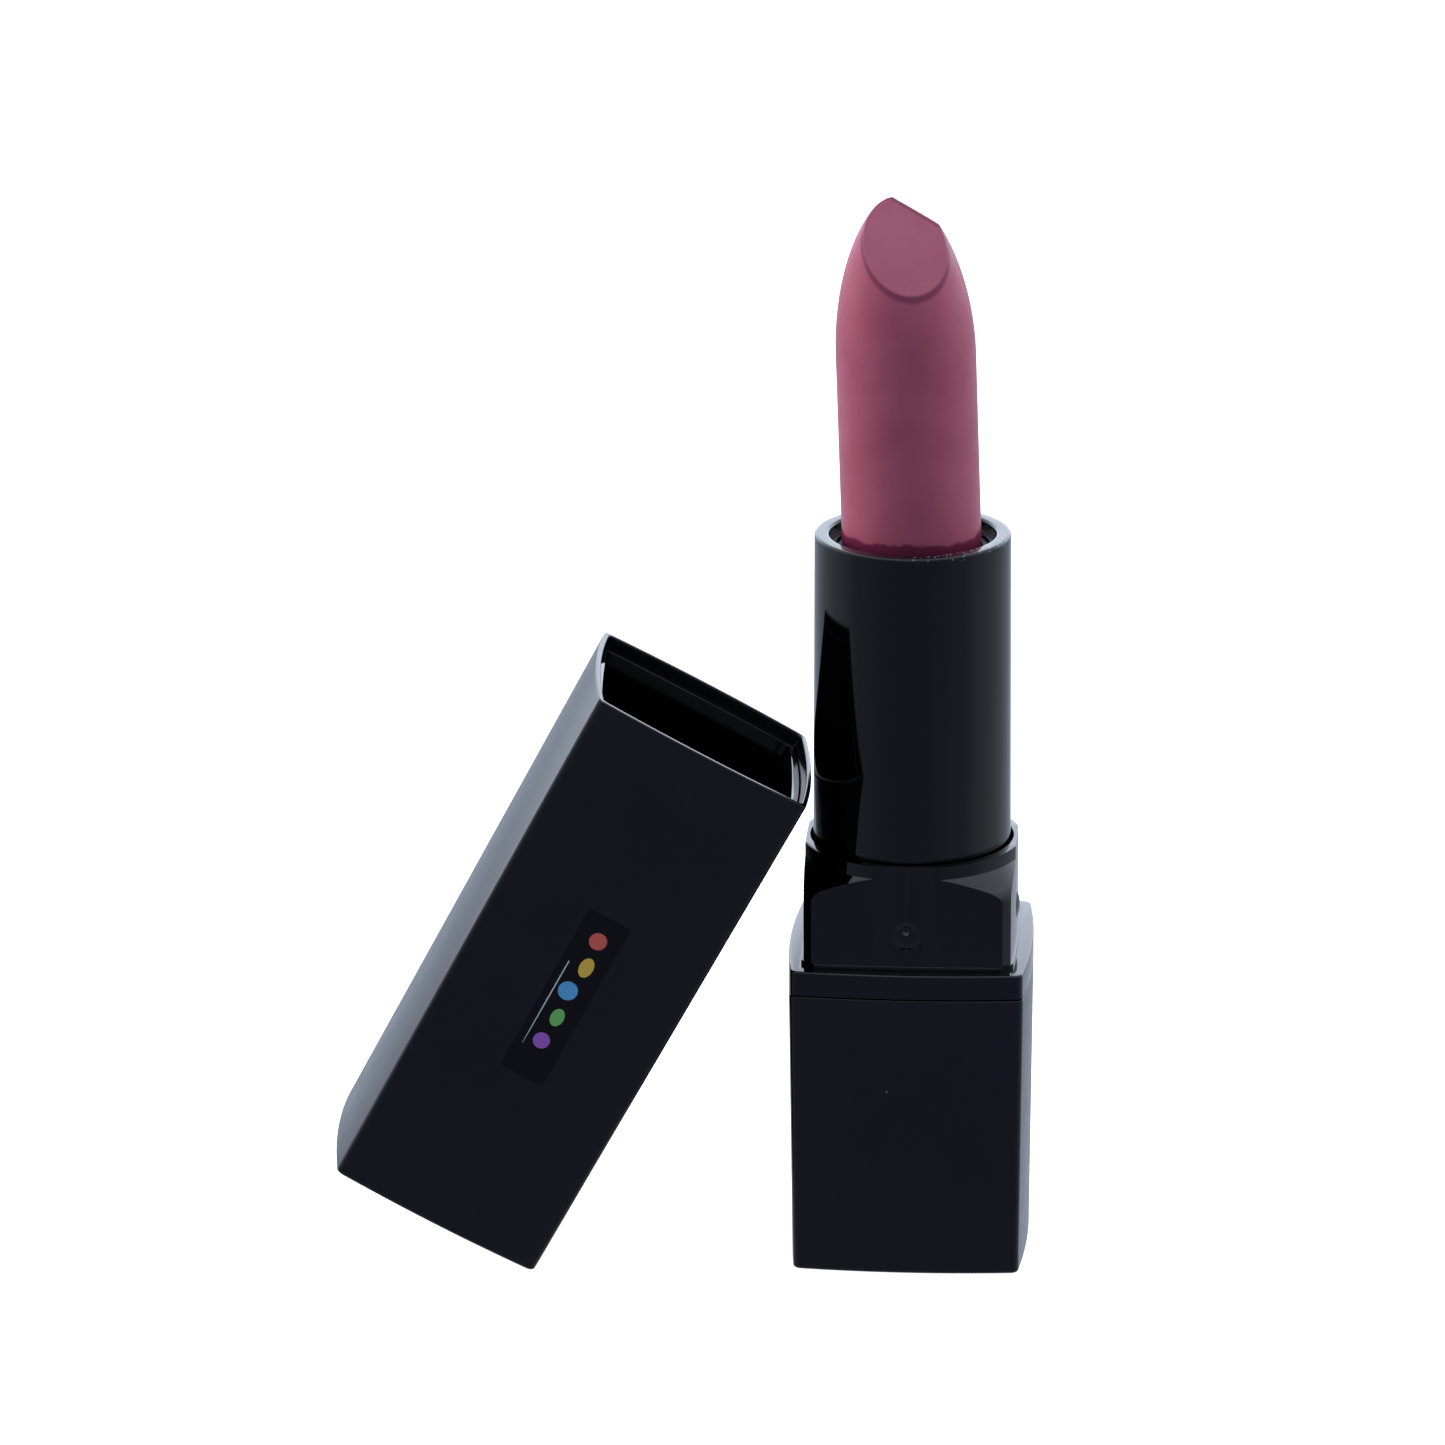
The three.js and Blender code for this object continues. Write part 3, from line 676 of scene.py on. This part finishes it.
def bow_nose(bm, shoulder):
    """Leans the poured nose's tip off the axis."""
    for vert in bm.verts:
        risen = max(0, vert.co.z - shoulder) / NOSE_HEIGHT
        off = NOSE_BOW * risen ** 2
        vert.co.x -= off * math.sin(NOSE_BOW_WAY)
        vert.co.y += off * math.cos(NOSE_BOW_WAY)


def lean_bullet(bm):
    """The bullet stands a little askew where it comes out of its cup."""
    for vert in bm.verts:
        vert.co.x -= math.tan(BULLET_LEAN) * max(0, vert.co.z - lean_height)


def slice_off(bm, tilt, turn, rise):
    """Cuts a solid along a tilted plane and closes it."""
    normal = cut_normal(tilt, turn)
    made = bmesh.ops.bisect_plane(
        bm, geom=bm.verts[:] + bm.edges[:] + bm.faces[:], plane_co=(0, 0, rim_height + rise),
        plane_no=normal, clear_outer=True)
    rim = [part for part in made["geom_cut"] if isinstance(part, bmesh.types.BMEdge)]
    bmesh.ops.contextual_create(bm, geom=rim)
    bmesh.ops.recalc_face_normals(bm, faces=bm.faces[:])


def make_bullet():
    shoulder = rim_height + BULLET_OUT
    foot = bullet_low.z
    bm = turned_solid([
        (0, foot),
        (bullet_radius, foot),
        (bullet_radius, lean_height),
        *nose_profile(shoulder),
        (0, shoulder + NOSE_HEIGHT),
    ], BULLET_STEPS)
    bow_nose(bm, shoulder)
    slice_off(bm, *TRIM_CUT)
    slice_off(bm, *FACE_CUT)
    bmesh.ops.remove_doubles(bm, verts=bm.verts[:], dist=CUT_ROUND / 2)
    cuts = sorted(bm.faces, key=lambda face: len(face.edges))[-2:]
    rims = {edge for face in cuts for edge in face.edges}
    bmesh.ops.bevel(
        bm, geom=list(rims), offset=CUT_ROUND, segments=3, profile=0.5, affect="EDGES",
        clamp_overlap=True, material=-1)
    lean_bullet(bm)
    finish_piece("wax_bullet", bm, "carrier", lip_wax, ["bullet"])


def make_cap():
    place = cap_place()
    mouth = CAP_LENGTH
    shell = crowned_solid([
        *arc(cap_end_half - CAP_EDGE, CAP_EDGE, CAP_EDGE, -RIGHT_ANGLE, 8),
        *arc(case_half - MOUTH_EDGE, mouth - MOUTH_EDGE, MOUTH_EDGE, 0, 5),
        *arc(mouth_bore + MOUTH_FLARE, mouth - MOUTH_EDGE, MOUTH_EDGE, RIGHT_ANGLE, 5),
        (mouth_bore, mouth - MOUTH_FLARE - MOUTH_EDGE),
        (cap_bore, CAP_END_WALL),
    ], CASE_OUTLINE)
    finish_piece("cap_case", shell, "cap", satin_black, ["cap_shell"], place=place)
    top = mouth - LINER_SUNK
    outside = crowned_solid([
        (cap_bore - LINER_GAP, CAP_END_WALL + LINER_GAP),
        (mouth_bore - LINER_GAP, top),
    ], CASE_OUTLINE)
    bore_half = neck_half + LINER_BORE_GAP
    bore = crowned_solid([
        (bore_half - LINER_DRAFT, LINER_END),
        (bore_half, top - NECK_HEIGHT),
        (bore_half, mouth),
    ], NECK_OUTLINE)
    liner = soften_creases(combine("liner", outside, ("DIFFERENCE", bore)), SHARP_EDGE)
    finish_piece(
        "cap_inner_sleeve", liner, "cap", gloss_black, ["cap_liner"],
        place=place)


def label_spot(across, along):
    """A matrix from a flat shape to a place on the label's crowned film, facing out."""
    height = LABEL_ALONG + along
    x = LABEL_ACROSS + across
    half = cap_end_half + CAP_DRAFT * height / CAP_LENGTH
    crown = CASE_OUTLINE["crown"]
    out = half + LABEL_LIFT - crown * (x / (half - crown)) ** 2
    tilt = math.atan(2 * crown * x / (half - crown) ** 2)
    face = Matrix.Rotation(tilt, 4, "Z") @ Matrix.Rotation(RIGHT_ANGLE, 4, "X")
    return cap_place() @ Matrix.Translation((x, -out, height)) @ face


def make_print():
    """Round and oblong printed dots and a hairline, with nothing written."""
    shapes = [
        ("coral", 0.0, 5.9, 0.78, 1.0),
        ("gold", 0.25, 3.3, 0.62, 1.5),
        ("sky", -0.15, 0.7, 0.86, 1.0),
        ("leaf", 0.2, -1.9, 0.6, 1.4),
        ("violet", 0.0, -4.4, 0.74, 1.0),
        ("pale", -1.35, 0.6, 0.05, 120.0),
    ]
    for name, across, along, radius, stretch in shapes:
        bm = bmesh.new()
        bmesh.ops.create_cone(
            bm, cap_ends=True, segments=PRINT_STEPS, radius1=radius * MM, radius2=radius * MM,
            depth=PRINT_THICK)
        bmesh.ops.scale(bm, verts=bm.verts[:], vec=(1, stretch, 1))
        finish_piece(
            "print_" + name, bm, "cap", inks[name],
            place=label_spot(across * MM, along * MM))


def finish_cad_nodes():
    finishes = {
        "base_weight": slug_steel,
        "base_socket": natural_plastic,
        "guide_sleeve": inner_black,
        "friction_ring": silicone,
        "spiral_sleeve": natural_plastic,
        "carrier_cup": inner_black,
        "cap_label": label_black,
    }
    for name, material in finishes.items():
        mesh = frame["nodes"][name].data
        mesh.materials.clear()
        mesh.materials.append(material)


# ---------------------------------------------------------------- studio

FLOOR_SIZE = 6.0
LOW_GLOW = [
    (0.0, (0.18, 0.19, 0.29)),
    (0.25, (0.25, 0.26, 0.34)),
    (0.5, (0.40, 0.43, 0.51)),
    (1.0, (0.47, 0.54, 0.66)),
]
HIGH_GLOW = [
    (0.0, (0.25, 0.26, 0.34)),
    (0.3, (0.3, 0.33, 0.4)),
    (0.65, (0.9, 1.0, 1.15)),
    (1.0, (2.3, 2.55, 3.0)),
]
CEILING = (1.05, 1.12, 1.3)
CEILING_RISE = (0.3, 0.9)  # how steeply up it starts and is full
HORIZON = 0.12  # half of the band where the low glow gives way to the high one
CAMERA_AZIMUTH = math.radians(4.439)
CAMERA_ELEVATION = math.radians(17.627)
CAMERA_ROLL = math.radians(-0.335)
CAMERA_DISTANCE = 0.66505
CAMERA_RIGHT = -16.42 * MM
CAMERA_UP = 45.0 * MM
LENS = 187.44
LAMP_SIZE = 0.35
LEFT_LAMP = (-0.55, 0.05, 0.2)
LEFT_POWER = 2.2
RIGHT_LAMP = (0.5, 0.15, 0.2)
RIGHT_POWER = 0.8
LIT = Vector((0, 0, 80 * MM))  # what the lamps look at


def make_camera():
    a, e = CAMERA_AZIMUTH, CAMERA_ELEVATION
    back = Vector((math.sin(a) * math.cos(e), -math.cos(a) * math.cos(e), math.sin(e)))
    right = Vector((math.cos(a), math.sin(a), 0))
    up = back.cross(right)
    across = right * math.cos(CAMERA_ROLL) + up * math.sin(CAMERA_ROLL)
    above = up * math.cos(CAMERA_ROLL) - right * math.sin(CAMERA_ROLL)
    data = bpy.data.cameras.new("camera")
    data.lens = LENS
    data.sensor_width = 36
    data.clip_start = 0.01
    camera = bpy.data.objects.new("camera", data)
    bpy.context.scene.collection.objects.link(camera)
    place = Matrix((across, above, back)).transposed().to_4x4()
    place.translation = back * CAMERA_DISTANCE + right * CAMERA_RIGHT + up * CAMERA_UP
    camera.matrix_world = place
    bpy.context.scene.camera = camera


def make_floor():
    bm = bmesh.new()
    bmesh.ops.create_grid(bm, x_segments=1, y_segments=1, size=FLOOR_SIZE / 2)
    floor = mesh_object("floor", bm)
    floor.visible_glossy = False
    floor.visible_diffuse = False
    material, nodes, links, shader = new_material("floor_paper")
    tone = remap(nodes, links, noise(nodes, links, 80 * MM), *SPREAD, 0.86, 0.9)
    links.new(tone, shader.inputs["Base Color"])
    shader.inputs["Roughness"].default_value = 0.9
    shader.inputs["Specular IOR Level"].default_value = 0
    shader.inputs["Emission Color"].default_value = (1, 1, 1, 1)
    shader.inputs["Emission Strength"].default_value = 0.9
    floor.data.materials.append(material)


def make_world():
    """A light tent: the paper behind and beside the case glows, and the camera's side stays dim."""
    world = bpy.data.worlds.new("studio")
    bpy.context.scene.world = world
    world.use_nodes = True
    nodes, links = world.node_tree.nodes, world.node_tree.links
    place = nodes.new("ShaderNodeTexCoord")
    way = nodes.new("ShaderNodeSeparateXYZ")
    links.new(place.outputs["Generated"], way.inputs["Vector"])
    low = glow(nodes, links, way.outputs["Y"], LOW_GLOW)
    high = glow(nodes, links, way.outputs["Y"], HIGH_GLOW)
    steep = remap(nodes, links, way.outputs["Z"], *CEILING_RISE, 0, 1)
    ceiling = mix_colour(nodes, links, steep, high, CEILING)
    lift = remap(nodes, links, way.outputs["Z"], -HORIZON, HORIZON, 0, 1)
    tent = mix_colour(nodes, links, lift, low, ceiling)
    links.new(tent, nodes["Background"].inputs["Color"])
    pale = nodes.new("ShaderNodeBackground")
    pale.inputs["Color"].default_value = (1, 1, 1, 1)
    pale.inputs["Strength"].default_value = 1
    ray = nodes.new("ShaderNodeLightPath")
    choose = nodes.new("ShaderNodeMixShader")
    links.new(ray.outputs["Is Camera Ray"], choose.inputs["Fac"])
    links.new(nodes["Background"].outputs["Background"], choose.inputs[1])
    links.new(pale.outputs["Background"], choose.inputs[2])
    links.new(choose.outputs["Shader"], nodes["World Output"].inputs["Surface"])


def glow(nodes, links, value, stops):
    """A tone that runs from the camera's side (-1) to the far side (+1)."""
    ramp = nodes.new("ShaderNodeValToRGB")
    links.new(remap(nodes, links, value, -1, 1, 0, 1), ramp.inputs["Fac"])
    strip = ramp.color_ramp
    strip.interpolation = "EASE"
    while len(strip.elements) < len(stops):
        strip.elements.new(0.5)
    for mark, (position, colour) in zip(strip.elements, stops):
        mark.position = position
        mark.color = (*colour, 1)
    return ramp.outputs["Color"]


def soft_light(name, place, power):
    """A large lamp with no mirror image, for the wax and the print."""
    data = bpy.data.lights.new(name, "AREA")
    data.shape = "DISK"
    data.size = LAMP_SIZE
    data.energy = power
    lamp = bpy.data.objects.new(name, data)
    bpy.context.scene.collection.objects.link(lamp)
    lamp.visible_glossy = False
    lamp.visible_camera = False
    way = (Vector(place) - LIT).to_track_quat("Z", "Y")
    lamp.matrix_world = Matrix.Translation(place) @ way.to_matrix().to_4x4()


def make_studio():
    make_camera()
    make_floor()
    make_world()
    soft_light("left_lamp", LEFT_LAMP, LEFT_POWER)
    soft_light("right_lamp", RIGHT_LAMP, RIGHT_POWER)
    bpy.context.scene.view_settings.view_transform = "Standard"


make_studio()
make_base()
make_collar()
make_tube()
make_bullet()
make_cap()
make_print()
finish_cad_nodes()
